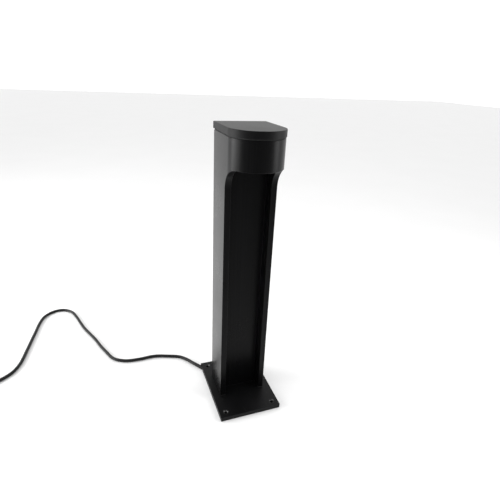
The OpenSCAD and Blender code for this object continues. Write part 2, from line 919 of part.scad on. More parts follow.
module terminal_block() {
    x0 = terminal_x - terminal_width / 2;
    color([0.88, 0.86, 0.78])
        difference() {
            translate([x0, tray_face, terminal_bottom])
                cube([terminal_width, terminal_depth, terminal_height]);
            for (x = [-terminal_pole, terminal_pole]) {
                translate([terminal_x + x, terminal_entry, terminal_bottom - past])
                    cylinder(r = core_radius + 0.4, h = terminal_height + 2 * past);
                translate([
                    terminal_x + x, terminal_entry, terminal_bottom + terminal_height / 2
                ])
                    rotate([-90, 0, 0]) cylinder(r = 2.2, h = terminal_depth);
            }
        }
}

module terminal_screws() {
    length = 5;
    color([0.75, 0.65, 0.35])
        for (x = [-terminal_pole, terminal_pole])
            translate([
                terminal_x + x, tray_face + terminal_depth - length - 1.5,
                terminal_bottom + terminal_height / 2
            ])
                rotate([-90, 0, 0])
                    difference() {
                        cylinder(r = 2.2 - play, h = length);
                        translate([-2.5, -0.3, length - 1]) cube([5, 0.6, 2]);
                    }
}

module cable_clamp_block() {
    depth = cable_rise[1] - gap / 2 - tray_face;
    color([0.16, 0.16, 0.16])
        difference() {
            translate([cable_rise[0] - clamp_half, tray_face, clamp_bottom])
                cube([2 * clamp_half, depth, clamp_height]);
            translate([cable_rise[0], cable_rise[1], clamp_bottom - past])
                cylinder(r = cable_radius + play, h = clamp_height + 2 * past);
            for (x = [-clamp_screw_x, clamp_screw_x])
                translate([cable_rise[0] + x, tray_face - past, clamp_bottom + clamp_height / 2])
                    rotate([-90, 0, 0]) cylinder(r = m3_radius, h = depth + 2 * past);
        }
}

module cable_clamp_strap() {
    color([0.2, 0.2, 0.2])
        difference() {
            translate([cable_rise[0] - clamp_half, cable_rise[1] + gap / 2, clamp_bottom])
                cube([2 * clamp_half, clamp_strap_depth, clamp_height]);
            translate([cable_rise[0], cable_rise[1], clamp_bottom - past])
                cylinder(r = cable_radius + play, h = clamp_height + 2 * past);
            for (x = [-clamp_screw_x, clamp_screw_x])
                translate([cable_rise[0] + x, cable_rise[1], clamp_bottom + clamp_height / 2])
                    rotate([-90, 0, 0])
                        cylinder(r = m3_radius + 0.1, h = clamp_strap_depth + 2 * past);
        }
}

module cable_clamp_screws() {
    head_at = cable_rise[1] + gap / 2 + clamp_strap_depth;
    length = head_at - tray_back;
    color([0.7, 0.7, 0.72])
        for (x = [-clamp_screw_x, clamp_screw_x])
            translate([cable_rise[0] + x, tray_back, clamp_bottom + clamp_height / 2])
                rotate([-90, 0, 0])
                    pan_screw(m3_radius, length, m3_head_radius, m3_head_height);
}

// ---------------------------------------------------------------- wiring inside

// Sheathed cable from the edge of the plate, through its channel and up into the column
module inner_cable() {
    straight = bend_start - cord_join;
    color([0.03, 0.03, 0.03])
        on_cable_line() {
            translate([cord_join, 0, cable_level])
                rotate([0, 90, 0]) cylinder(r = cable_radius, h = straight);
            translate([bend_start, 0, cable_level + cable_bend])
                rotate([90, 0, 0])
                    rotate([0, 0, -90])
                        rotate_extrude(angle = 90) translate([cable_bend, 0]) circle(r = cable_radius);
            translate([channel_run, 0, cable_level + cable_bend])
                cylinder(r = cable_radius, h = sheath_end - cable_level - cable_bend);
        }
}

module supply_core(side) {
    foot = [cable_rise[0] + side * core_ring, cable_rise[1], sheath_end];
    entry = [terminal_x + side * terminal_pole, terminal_entry, terminal_bottom + 4];
    swept_tube(
        [
            foot, foot + [0, 0, 2], foot + [0, 0, 4], entry - [0, 0, 10], entry - [0, 0, 5], entry
        ],
        core_radius, [0, 1, 0], 8, 3
    );
}

module live_core() color([0.4, 0.2, 0.1]) supply_core(-1);

module neutral_core() color([0.1, 0.3, 0.7]) supply_core(1);

module earth_core() {
    foot = [cable_rise[0], cable_rise[1] + core_ring, sheath_end];
    lug = [lug_x, tray_face + lug_thickness + core_radius, lug_level + lug_radius + 1];
    color([0.4, 0.7, 0.2])
        swept_tube(
            [
                foot, foot + [0, 0, 2], foot + [0, 0, 4], foot + [5, 2.5, 9],
                (foot + lug) / 2 + [0, 5, 9.5], lug + [-4.5, 1.5, 7], lug + [0, 0, 3], lug
            ],
            core_radius, [0, 1, 0.2], 8, 3
        );
}

module earth_lug() {
    color([0.75, 0.72, 0.6]) {
        difference() {
            union() {
                translate([lug_x, tray_face, lug_level])
                    rotate([-90, 0, 0]) cylinder(r = lug_radius, h = lug_thickness);
                translate([lug_x - 2, tray_face, lug_level])
                    cube([4, lug_thickness, lug_radius + 6]);
            }
            translate([lug_x, tray_face - past, lug_level])
                rotate([-90, 0, 0]) cylinder(r = m3_radius + 0.1, h = lug_thickness + 2 * past);
        }
    }
}

module earth_screw() {
    length = lug_thickness + tray_sheet + 1;
    color([0.75, 0.65, 0.35])
        translate([lug_x, tray_face + lug_thickness - length, lug_level])
            rotate([-90, 0, 0]) pan_screw(m3_radius, length, m3_head_radius, m3_head_height);
}

module driver_lead(side) {
    top = terminal_bottom + terminal_height;
    foot = [terminal_x + side * terminal_pole, terminal_entry, top - 4];
    entry = [terminal_x + 4 + side * 3, tray_face + 12, driver_bottom];
    swept_tube(
        [foot, foot + [0, 0, 4], foot + [0, 0, 7], entry - [0, 0, 7], entry - [0, 0, 3], entry],
        lead_radius, [0, 1, 0], 8, 3
    );
}

module driver_live_lead() color([0.4, 0.2, 0.1]) driver_lead(-1);

module driver_neutral_lead() color([0.1, 0.3, 0.7]) driver_lead(1);

// Lead from the driver up the chamber, through the panel and down to the circuit board
module lamp_lead(side) {
    x = side * wire_x;
    start = driver_top;
    chamber_y = panel_back + 9;
    swept_tube(
        [
            [12 + x, tray_face + 12, start],
            [12 + x, tray_face + 12, start + 5],
            [12 + x, tray_face + 12, start + 14],
            [8 + x, chamber_y, start + 70],
            [4 + x, chamber_y, start + 170],
            [x * 0.7, chamber_y, wire_level - 16],
            [x * 0.7, chamber_y - 2.5, wire_level - 4],
            [x * 0.7, panel_back + 1.5, wire_level],
            [x * 0.7, panel_front - 5, wire_level],
            [x, wire_y + 4, wire_level - 0.8],
            [x, wire_y, wire_level - 5],
            [x, wire_y, sink_bottom + 3],
            [x, wire_y, sink_bottom]
        ],
        lead_radius, [1, 0, 0], 8, 3
    );
}

module lamp_positive_lead() color([0.7, 0.1, 0.1]) lamp_lead(-1);

module lamp_negative_lead() color([0.06, 0.06, 0.06]) lamp_lead(1);

// ---------------------------------------------------------------- cable outside

module cable_sleeve() {
    tip_radius = cable_radius + 0.15;
    bore = cable_radius + play;
    color([0.05, 0.05, 0.05])
        on_cable_line()
            translate([0, 0, cable_level])
                rotate([0, -90, 0])
                    rotate_extrude()
                        polygon([
                            [bore, -sleeve_seat], [sleeve_radius, -sleeve_seat],
                            [sleeve_radius, 3], [tip_radius, sleeve_length],
                            [bore, sleeve_length]
                        ]);
}

module supply_cord() color([0.03, 0.03, 0.03]) swept_tube(CORD_ROUTE, cable_radius);

module cord_coil() {
    corner = cable_radius;
    color([0.03, 0.03, 0.03])
        translate([coil_centre[0], coil_centre[1], coil_base])
            rotate_extrude($fn = 96)
                translate([coil_inner, 0])
                    rounded_rectangle(coil_outer - coil_inner, coil_height, corner);
}

module cord_tail() color([0.03, 0.03, 0.03]) swept_tube(TAIL_ROUTE, cable_radius);

// Two bands round the coil, on opposite sides
module cord_ties() {
    width = coil_outer - coil_inner + 2 * tie_thickness;
    color([0.5, 0.5, 0.5])
        for (angle = TIE_ANGLES)
            translate([coil_centre[0], coil_centre[1], 0])
                rotate([0, 0, angle])
                    rotate_extrude(angle = tie_angle)
                        translate([coil_inner - tie_thickness, 0])
                            difference() {
                                rounded_rectangle(
                                    width, coil_height + 2 * tie_thickness,
                                    cable_radius + tie_thickness
                                );
                                translate([tie_thickness, tie_thickness])
                                    rounded_rectangle(
                                        width - 2 * tie_thickness, coil_height, cable_radius
                                    );
                            }
}

// Insulated core that leaves the end of the sheath and comes to rest on the ground
module end_core(side) {
    lift = side == 0 ? core_ring : -core_ring / 2;
    start = tail_end + side * core_ring * 0.87 * tail_side + [0, 0, lift];
    tip = tail_end + side * end_spread * tail_side + end_length * tail_way;
    rest = [tip[0], tip[1], collar_radius];
    swept_tube(
        [
            start, start + 3 * tail_way, start + 8 * tail_way + 0.6 * side * tail_side,
            (start + rest) / 2, rest - 8 * tail_way, rest - 4 * tail_way,
            rest
        ],
        core_radius, [0, 0, 1], 8, 3
    );
}

module end_live_core() color([0.4, 0.2, 0.1]) end_core(-1);

module end_neutral_core() color([0.1, 0.3, 0.7]) end_core(1);

module end_earth_core() color([0.4, 0.7, 0.2]) end_core(0);

module core_ferrules() {
    turn = atan2(tail_way[1], tail_way[0]);
    color([0.8, 0.8, 0.82])
        for (side = [-1, 0, 1]) {
            tip = tail_end + side * end_spread * tail_side + end_length * tail_way;
            translate([tip[0], tip[1], collar_radius])
                rotate([0, 90, turn]) {
                    cylinder(r = collar_radius, h = collar_length);
                    translate([0, 0, collar_length]) cylinder(r = ferrule_radius, h = ferrule_length);
                }
        }
}

base_plate();
foot_seal();
column();
top_cap();
cap_seal();
cap_grub_screws();
column_screws();
heat_sink();
heat_sink_screws();
led_board();
led_emitters();
board_screws();
reflector();
lens();
lens_seal();
lens_frame();
lens_frame_screws();
panel_grommet();
gear_tray();
gear_tray_screws();
driver_case();
driver_cover();
driver_board();
driver_transformer();
driver_capacitors();
driver_screws();
terminal_block();
terminal_screws();
cable_clamp_block();
cable_clamp_strap();
cable_clamp_screws();
inner_cable();
live_core();
neutral_core();
earth_core();
earth_lug();
earth_screw();
driver_live_lead();
driver_neutral_lead();
lamp_positive_lead();
lamp_negative_lead();
cable_sleeve();
supply_cord();
cord_coil();
cord_tail();
cord_ties();
end_live_core();
end_neutral_core();
end_earth_core();
core_ferrules();
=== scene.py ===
"""The looks of a bollard light, built round its CAD frame: camera, cable, column, finishes, light.

Lengths in this file are millimetres, in the frame of the CAD model, and MM turns them to metres.
The origin is the centre of the underside of the base plate, +Z is up and the recess faces -Y.
"""

import math

import bmesh
import bpy
import numpy as np
from mathutils import Matrix, Vector
from mathutils.geometry import tessellate_polygon


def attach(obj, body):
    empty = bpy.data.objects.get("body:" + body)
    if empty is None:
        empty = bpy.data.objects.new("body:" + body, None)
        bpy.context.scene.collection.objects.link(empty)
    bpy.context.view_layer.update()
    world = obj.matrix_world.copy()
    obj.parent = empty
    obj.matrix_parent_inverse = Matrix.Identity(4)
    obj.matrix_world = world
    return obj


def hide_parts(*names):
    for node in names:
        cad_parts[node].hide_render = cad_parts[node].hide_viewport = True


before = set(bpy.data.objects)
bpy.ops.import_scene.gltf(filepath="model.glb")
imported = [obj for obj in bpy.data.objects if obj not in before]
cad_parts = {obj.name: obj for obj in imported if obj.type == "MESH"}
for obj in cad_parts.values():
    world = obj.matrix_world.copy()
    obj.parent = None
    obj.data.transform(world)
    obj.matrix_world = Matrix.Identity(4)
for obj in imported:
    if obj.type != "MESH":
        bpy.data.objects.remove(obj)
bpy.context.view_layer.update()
MM = 0.001

# ---------------------------------------------------------------- camera


def place_camera(place, yaw, pitch, roll, lens):
    """Camera at a place in millimetres; yaw turns it from +Y towards +X, pitch lifts it, and roll
    turns it about its own line of sight, all in degrees."""
    yaw, pitch, roll = (math.radians(angle) for angle in (yaw, pitch, roll))
    ahead = Vector(
        (math.sin(yaw) * math.cos(pitch), math.cos(yaw) * math.cos(pitch), math.sin(pitch))
    )
    level = Vector((math.cos(yaw), -math.sin(yaw), 0))
    upright = level.cross(ahead)
    right = math.cos(roll) * level + math.sin(roll) * upright
    up = math.cos(roll) * upright - math.sin(roll) * level
    data = bpy.data.cameras.new("camera")
    data.lens = lens
    data.sensor_width = 36
    data.clip_start = 0.01
    data.clip_end = 100
    camera = bpy.data.objects.new("camera", data)
    turn = Matrix((right, up, -ahead)).transposed().to_4x4()
    camera.matrix_world = Matrix.Translation(Vector(place) * MM) @ turn
    bpy.context.scene.collection.objects.link(camera)
    bpy.context.scene.camera = camera


place_camera(
    place=(-256.008, -695.646, 684.5), yaw=21.204, pitch=-23.945, roll=2.853, lens=28.793
)

# ---------------------------------------------------------------- supply cable

CABLE_DIAMETER = 7.5
CABLE_RADIUS = CABLE_DIAMETER / 2
CABLE_EXIT = np.array([-68.0, 82.25])
CABLE_WAY = np.array([math.cos(math.radians(-55)), math.sin(math.radians(-55))])
CABLE_LEVEL = 4.15
# How far in from the edge of the plate the first points are; below 0 they are outside it
CABLE_START = np.array([6, -8, -22, -36, -50])
CORD_ROUTE = [
    (-113, 140),
    (-140, 151),
    (-174, 161),
    (-212, 160),
    (-246, 164),
    (-273, 181),
    (-289, 212),
    (-303, 244),
    (-315, 276),
    (-329, 307),
    (-343, 338),
    (-354, 369),
    (-365, 403),
    (-380, 436),
    (-404, 454),
    (-431, 451),
    (-453, 429),
    (-463, 395),
    (-468, 361),
    (-473, 328),
    (-478, 295),
    (-483, 262),
    (-489, 228),
    (-501, 199),
    (-520, 180),
]
CORD_END = (-543, 166, 4.2)
TAIL_ROUTE = [
    (-632.8, 197, 12),
    (-632.8, 209, 10.7),
    (-633.4, 218.5, 8.6),
    (-634.4, 228, 6),
    (-636, 237, 4.2),
    (-638, 246, 3.75),
    (-640, 255, 3.75),
]
COIL_CENTRE = (-590, 183)
COIL_RADIUS = 39
COIL_BASE = 0.8
COIL_ENTRY = 310
COIL_TURNS = 3 + 130 / 360
STEPS_PER_TURN = 16
# Where along the coil, in turns, the cable steps inward, rises a layer and steps outward again
COIL_INWARD = (0.66, 0.98)
COIL_RISE = (1.60, 1.84)
COIL_OUTWARD = (2.34, 2.70)


def ease(value, start, end):
    """Smooth step: 0 before start, 1 after end, and 3t^2 - 2t^3 between them."""
    t = np.clip((value - start) / (end - start), 0, 1)
    return t * t * (3 - 2 * t)


def coil_points():
    """Turns wound clockwise two wide and two high: the outer bottom turn steps inward, rises,
    and steps outward again on top, each over a quarter to a third of a turn."""
    turn = np.append(np.arange(0, COIL_TURNS - 0.01, 1 / STEPS_PER_TURN), COIL_TURNS)
    step = CABLE_DIAMETER * (ease(turn, *COIL_OUTWARD) - ease(turn, *COIL_INWARD))
    radius = COIL_RADIUS + CABLE_RADIUS + step
    level = COIL_BASE + CABLE_RADIUS + CABLE_DIAMETER * ease(turn, *COIL_RISE)
    angle = np.radians(COIL_ENTRY - 360 * turn)
    return np.stack(
        [
            COIL_CENTRE[0] + radius * np.cos(angle),
            COIL_CENTRE[1] + radius * np.sin(angle),
            level,
        ],
        axis=1,
    )


def cord_points():
    """The whole cable: straight out of the plate, along the ground, into the coil and off it."""
    straight = CABLE_EXIT + CABLE_START[:, None] * CABLE_WAY
    start = np.column_stack([straight, np.full(len(straight), CABLE_LEVEL)])
    ground = np.column_stack([np.array(CORD_ROUTE), np.full(len(CORD_ROUTE), CABLE_RADIUS)])
    return np.vstack([start, ground, [CORD_END], coil_points(), TAIL_ROUTE])


def cord_curve(name, points, radius):
    """One open Bezier spline through points, in millimetres. Each point's handles lie a sixth of
    the way between its two neighbours, to either side, so the line runs smoothly through it.
    The round section is a metre deep and each point's radius scales it to the cable's."""
    data = bpy.data.curves.new(name, "CURVE")
    data.dimensions = "3D"
    data.bevel_depth = 1
    data.bevel_resolution = 5
    data.resolution_u = 6
    data.render_resolution_u = 6
    data.use_fill_caps = True
    spline = data.splines.new("BEZIER")
    spline.bezier_points.add(len(points) - 1)
    before = np.vstack([2 * points[0] - points[1], points[:-1]])
    after = np.vstack([points[1:], 2 * points[-1] - points[-2]])
    reach = (after - before) / 6
    for key, value in (
        ("co", points),
        ("handle_left", points - reach),
        ("handle_right", points + reach),
    ):
        spline.bezier_points.foreach_set(key, (value * MM).ravel())
    spline.bezier_points.foreach_set("radius", np.full(len(points), radius * MM))
    cord = bpy.data.objects.new(name, data)
    bpy.context.scene.collection.objects.link(cord)
    return cord


supply_cable = cord_curve("supply_cable", cord_points(), CABLE_RADIUS)
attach(supply_cable, "root")
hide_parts("supply_cord", "cord_coil", "cord_tail")

# ---------------------------------------------------------------- mesh helpers

SHARP_EDGE = math.radians(40)
SAME_POINT = 0.002
NO_LENGTH = 0.001


def sheet_faces(rows, columns):
    """Corner numbers of the squares of a grid of rows by columns points, row after row."""
    corner = np.arange(rows * columns).reshape(rows, columns)
    return np.stack(
        [corner[:-1, :-1], corner[:-1, 1:], corner[1:, 1:], corner[1:, :-1]], axis=-1
    ).reshape(-1, 4)


class Shell:
    """Sheets and flat faces that are collected, then joined along their edges as one piece."""

    def __init__(self):
        self.points = []
        self.faces = []
        self.count = 0

    def add(self, points, faces):
        self.points.append(np.asarray(points, float).reshape(-1, 3))
        self.faces += [tuple(int(corner) + self.count for corner in face) for face in faces]
        self.count += len(self.points[-1])

    def wall(self, path, levels):
        """Upright wall: a path of plan points repeated at each level. A level is one height, or
        one height for each point of the path."""
        path = np.asarray(path, float)
        rows = [np.column_stack([path, np.broadcast_to(level, len(path))]) for level in levels]
        self.add(np.stack(rows), sheet_faces(len(levels), len(path)))

    def plate(self, loops, level, upright=False):
        """Flat face at one level, or upright at one depth from loops of points across and up. The
        first loop is its edge and the others are holes in it."""
        flat = [[Vector((x, y, 0)) for x, y in loop] for loop in loops]
        points = np.vstack([np.asarray(loop, float) for loop in loops])
        points = np.column_stack([points, np.full(len(points), level)])
        self.add(points[:, [0, 2, 1]] if upright else points, tessellate_polygon(flat))

    def piece(self, name, slot, nodes, bevel=None):
        """Joins the sheets, turns the faces outward and makes the object. bevel is the width of
        the rounding on sharp edges, and a test on an edge's two ends that says which get it."""
        mesh = bpy.data.meshes.new(name)
        mesh.from_pydata(np.vstack(self.points) * MM, [], self.faces)
        form = bmesh.new()
        form.from_mesh(mesh)
        bmesh.ops.remove_doubles(form, verts=form.verts, dist=SAME_POINT * MM)
        bmesh.ops.dissolve_degenerate(form, edges=form.edges, dist=NO_LENGTH * MM)
        bmesh.ops.recalc_face_normals(form, faces=form.faces)
        for face in form.faces:
            face.smooth = True
        if bevel:
            weight = form.edges.layers.float.new("bevel_weight_edge")
            for edge in form.edges:
                sharp = edge.calc_face_angle(0) > SHARP_EDGE
                if sharp and bevel[1](edge.verts[0].co / MM, edge.verts[1].co / MM):
                    edge[weight] = 1
        form.to_mesh(mesh)
        form.free()
        mesh.set_sharp_from_angle(angle=SHARP_EDGE)
        made = bpy.data.objects.new(name, mesh)
        bpy.context.scene.collection.objects.link(made)
        if bevel:
            rounding = made.modifiers.new("rounding", "BEVEL")
            rounding.width = bevel[0] * MM
            rounding.segments = 3
            rounding.limit_method = "WEIGHT"
            rounding.use_clamp_overlap = False
            rounding.harden_normals = True
        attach(made, "root")
        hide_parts(*nodes)
        return made


def drawn_in(loop, inset):
    """A closed plan loop with each point moved inward along the average normal of its sides."""
    side = np.roll(loop, -1, axis=0) - loop
    normal = np.stack([-side[:, 1], side[:, 0]], 1) / np.linalg.norm(side, axis=1)[:, None]
    normal = normal + np.roll(normal, 1, axis=0)
    x, y = loop.T
    turns = np.sign(np.sum(x * np.roll(y, -1) - np.roll(x, -1) * y))
    return loop + turns * inset * normal / np.linalg.norm(normal, axis=1)[:, None]


def mirrored(path):
    """A plan path from the middle line out to the right, carried on as its mirror image, so that
    it runs from the far left end through the middle to the far right end."""
    path = np.asarray(path, float)
    return np.vstack([path[::-1] * (-1, 1), path[1:]])


# ---------------------------------------------------------------- column

HALF_WIDTH = 51.5
ROUND_CENTRE = -39.5
BACK = 47.5
BACK_ROUND = 2
CHEEK_FACE = -28.5
PANEL_FRONT = -4
PANEL_BACK = -0.5
CHAMBER_BACK = 44
CHAMBER_HALF = 48
CHAMBER_CORNER = 3
CAVITY_HALF = 39.5
CAVITY_RADIUS = 47.5
COVE_RADIUS = 42
COVE_CENTRE = (CHEEK_FACE - COVE_RADIUS, 490)
FOOT = 10.5
TOP = 585
GRUB_ACROSS = 12
GRUB_LEVEL = 579
GRUB_RADIUS = 2
RIM_WIDTH = 1.6
EDGE_ROUNDING = 0.8


def arc(centre, radius, start, end, steps):
    """Plan points on a circle, from one angle to another in degrees."""
    angle = np.radians(np.linspace(start, end, steps + 1))
    return np.stack([centre[0] + radius * np.cos(angle), centre[1] + radius * np.sin(angle)], 1)


def half_outline(radius, half, depths):
    """Right half of a round front of the given radius, as one plan point for each depth: the
    circle, cut off where it would be wider than half."""
    depth = np.asarray(depths, float)
    ahead = np.minimum(depth - ROUND_CENTRE, 0)
    across = np.sqrt(np.clip(radius**2 - ahead**2, 0, None))
    return np.column_stack([np.minimum(across, half), depth])


def cove_level(depth):
    """Height of the underside of the head at a depth: a quarter circle that leaves the cheeks
    upright and ends level, then level to the front."""
    along = np.clip(np.asarray(depth, float) - COVE_CENTRE[0], 0, COVE_RADIUS)
    return COVE_CENTRE[1] + np.sqrt(COVE_RADIUS**2 - along**2)


def chamber_loop():
    """Closed plan loop round the wiring chamber, with rounded corners."""
    across = CHAMBER_HALF - CHAMBER_CORNER
    front, back = PANEL_BACK + CHAMBER_CORNER, CHAMBER_BACK - CHAMBER_CORNER
    corners = [(across, front), (across, back), (-across, back), (-across, front)]
    starts = (-90, 0, 90, 180)
    return np.vstack(
        [
            arc(corner, CHAMBER_CORNER, start, start + 90, 6)
            for corner, start in zip(corners, starts)
        ]
    )


def both_sides(edge):
    """A path on the right, carried on backward along its mirror image on the left."""
    return np.vstack([edge, (np.asarray(edge) * (-1, 1))[::-1]])


def in_sight(a, b):
    """Edges that show: not round the chamber or a grub screw, not under the cap and not along
    the foot."""
    x, y, z = (a + b) / 2
    chamber = abs(x) < CHAMBER_HALF + 1 and PANEL_BACK - 1 < y < CHAMBER_BACK + 1
    from_round = math.hypot(x, min(y - ROUND_CENTRE, 0))
    under_cap = z > TOP - 1 and y < CHAMBER_BACK + 1 and from_round < CAVITY_RADIUS + 1
    foot = a.z < FOOT + 1 and b.z < FOOT + 1
    from_screw = math.hypot(abs(x) - GRUB_ACROSS, z - GRUB_LEVEL)
    grub_hole = y > 0 and from_screw < GRUB_RADIUS + 0.5
    return not (chamber or under_cap or foot or grub_hole)


def make_column():
    """The column's walls as upright sheets on plan paths, its cove as a sheet between the inside
    and the outside of the head, and flat faces at its ends."""
    shell = Shell()
    cove_angle = np.radians(np.linspace(0, 90, 25))
    cove_depth = COVE_CENTRE[0] + COVE_RADIUS * np.sin(cove_angle)
    edges = (ROUND_CENTRE, ROUND_CENTRE - math.sqrt(CAVITY_RADIUS**2 - CAVITY_HALF**2))
    cove_depth = np.unique(np.round(np.append(cove_depth, edges), 6))
    turn = math.degrees(math.acos((ROUND_CENTRE - COVE_CENTRE[0]) / HALF_WIDTH))
    outer_front = arc((0, ROUND_CENTRE), HALF_WIDTH, -90, -90 + turn, 36)
    turn = math.degrees(math.acos((ROUND_CENTRE - COVE_CENTRE[0]) / CAVITY_RADIUS))
    inner_front = arc((0, ROUND_CENTRE), CAVITY_RADIUS, -90, -90 + turn, 32)
    outer_side = half_outline(HALF_WIDTH, HALF_WIDTH, cove_depth)
    inner_side = half_outline(CAVITY_RADIUS, CAVITY_HALF, cove_depth)
    outer_head = mirrored(np.vstack([outer_front[:-1], outer_side]))
    inner_head = mirrored(np.vstack([inner_front[:-1], inner_side]))
    shell.wall(outer_head, [cove_level(outer_head[:, 1]), TOP])
    shell.wall(inner_head, [cove_level(inner_head[:, 1]), TOP])
    flat = np.vstack([mirrored(outer_front), mirrored(inner_front)[::-1]])
    shell.add(
        np.column_stack([flat, np.full(len(flat), cove_level(COVE_CENTRE[0]))]),
        [range(len(flat))],
    )
    level = cove_level(cove_depth)
    corner = arc((HALF_WIDTH - BACK_ROUND, BACK - BACK_ROUND), BACK_ROUND, 0, 90, 8)
    chamber = chamber_loop()
    shell.wall(np.roll(chamber, -len(chamber) // 2, axis=0), [FOOT, TOP])
    break_level = COVE_CENTRE[1]
    back_path = np.vstack([[(HALF_WIDTH, CHEEK_FACE)], corner])
    for side in (-1, 1):
        shell.wall(back_path * (side, 1), [FOOT, break_level, TOP])
    back_path = both_sides(back_path)
    holes = [arc((side * GRUB_ACROSS, GRUB_LEVEL), GRUB_RADIUS, 0, 360, 32) for side in (-1, 1)]
    open_holes = [hole[:-1] for hole in holes]
    for across, depth, levels in (
        (HALF_WIDTH - BACK_ROUND, BACK, [FOOT, break_level, TOP]),
        (CHAMBER_HALF - CHAMBER_CORNER, CHAMBER_BACK, [FOOT, TOP]),
    ):
        edge = np.column_stack([np.full(len(levels), across), levels])
        shell.plate([both_sides(edge), *open_holes], depth, upright=True)
    for hole in holes:
        sides = [np.insert(hole, 1, depth, axis=1) for depth in (CHAMBER_BACK, BACK)]
        shell.add(np.stack(sides), sheet_faces(2, len(hole)))
    inner_path = both_sides([(CAVITY_HALF, CHEEK_FACE), (CAVITY_HALF, PANEL_FRONT)])
    shell.wall(inner_path, [FOOT, break_level, TOP])
    for side in (-1, 1):
        cove = np.stack(
            [
                np.column_stack([side * inner_side[:, 0], cove_depth, level]),
                np.column_stack([side * outer_side[:, 0], cove_depth, level]),
            ]
        )
        shell.add(cove, sheet_faces(2, len(cove_depth)))
        face = [(side * CAVITY_HALF, CHEEK_FACE), (side * HALF_WIDTH, CHEEK_FACE)]
        shell.wall(face, [FOOT, break_level])
    edge = np.vstack([outer_head[:-1], back_path[:-1]])
    rim = np.stack([edge, drawn_in(edge, RIM_WIDTH)])
    rim = np.concatenate([rim, rim[:, :1]], axis=1)
    shell.add(np.dstack([rim, np.full(rim.shape[:2], TOP)]), sheet_faces(2, rim.shape[1]))
    cavity = np.vstack([inner_head[:-1], inner_path[:-1]])
    shell.plate([rim[1, :-1], cavity, chamber], TOP)
    shell.plate([np.vstack([back_path, inner_path[::-1]]), chamber], FOOT)
    shell.piece("column_body", "column_paint", ["column"], (EDGE_ROUNDING, in_sight))


make_column()

# ---------------------------------------------------------------- finishes


class Value:
    """One output of a shader node. Arithmetic with it adds Math nodes."""

    def __init__(self, finish, socket):
        self.finish = finish
        self.socket = socket

    def math_node(self, operation, first, second):
        return self.finish.node("ShaderNodeMath", {"operation": operation}, {0: first, 1: second})

    def __add__(self, other):
        return self.math_node("ADD", self, other)

    def __radd__(self, other):
        return self.math_node("ADD", other, self)

    def __sub__(self, other):
        return self.math_node("SUBTRACT", self, other)

    def __mul__(self, other):
        return self.math_node("MULTIPLY", self, other)

    def __rmul__(self, other):
        return self.math_node("MULTIPLY", other, self)

    def __pow__(self, other):
        return self.math_node("POWER", self, other)

    def __abs__(self):
        return self.math_node("ABSOLUTE", self, 0)


class Finish:
    """One material's nodes, round its Principled shader."""

    def __init__(self, name):
        self.material = bpy.data.materials.new(name)
        self.material.use_nodes = True
        self.tree = self.material.node_tree
        self.shader = self.tree.nodes["Principled BSDF"]
        self.place = self.node("ShaderNodeTexCoord", output="Object")

    def feed(self, socket, value):
        if isinstance(value, Value):
            self.tree.links.new(value.socket, socket)
        elif socket.type == "RGBA" and len(value) == 3:
            socket.default_value = (*value, 1)
        else:
            socket.default_value = value

    def node(self, kind, settings=None, sockets=None, output=0):
        """A node of any kind: its settings first, then the values or links of its sockets."""
        made = self.tree.nodes.new(kind)
        for key, value in (settings or {}).items():
            if key == "stops":
                for stop, (position, level) in zip(made.color_ramp.elements, value):
                    stop.position = position
                    stop.color = (level, level, level, 1)
            else:
                setattr(made, key, value)
        for key, value in (sockets or {}).items():
            self.feed(made.inputs[key], value)
        return Value(self, made.outputs[output])

    def set(self, **sockets):
        """Values or links of the shader's sockets, by their names with spaces as underscores."""
        for key, value in sockets.items():
            self.feed(self.shader.inputs[key.replace("_", " ")], value)

    def noise(self, scale, detail=4, place=None):
        """Cloudy noise from 0 to 1; scale is in patches per metre."""
        sockets = {
            "Vector": place or self.place,
            "Scale": scale,
            "Detail": detail,
            "Roughness": 0.55,
        }
        return self.node("ShaderNodeTexNoise", {}, sockets)

    def stretched(self, scales):
        """The piece's own coordinates multiplied by three scales, for grain along a direction."""
        return self.node(
            "ShaderNodeVectorMath", {"operation": "MULTIPLY"}, {0: self.place, 1: scales}
        )

    def ramp(self, value, low, high):
        """0 below low, 1 above high and a straight line between them."""
        return self.node("ShaderNodeValToRGB", {"stops": ((low, 0), (high, 1))}, {"Fac": value})

    def blend(self, amount, first, second):
        """A colour between two colours."""
        sockets = {"Factor": amount, 6: first, 7: second}
        return self.node("ShaderNodeMix", {"data_type": "RGBA"}, sockets, output=2)

    def bump(self, height, depth):
        """Small relief; depth is in millimetres."""
        sockets = {"Height": height, "Distance": depth * MM, "Strength": 1}
        self.set(Normal=self.node("ShaderNodeBump", {}, sockets))

    def axes(self, vector):
        """The X, Y and Z of a vector as three values."""
        split = self.tree.nodes.new("ShaderNodeSeparateXYZ")
        self.feed(split.inputs[0], vector)
        return [Value(self, output) for output in split.outputs]


DUST = (0.3, 0.3, 0.3)
DRAWN_LINE = (0.012, 0.012, 0.0124)
BARE_METAL = (0.12, 0.12, 0.12)
SCUFF = (0.16, 0.16, 0.16)
# The paint reflects little light straight on and more at a grazing angle
PAINT_SHEEN = (0.07, 0.07, 0.07, 1)
ANCHOR_HOLE = (54, 78)
COUNTERSINK_RADIUS = 5.75
COUNTERSINK_FOOT = 7.2


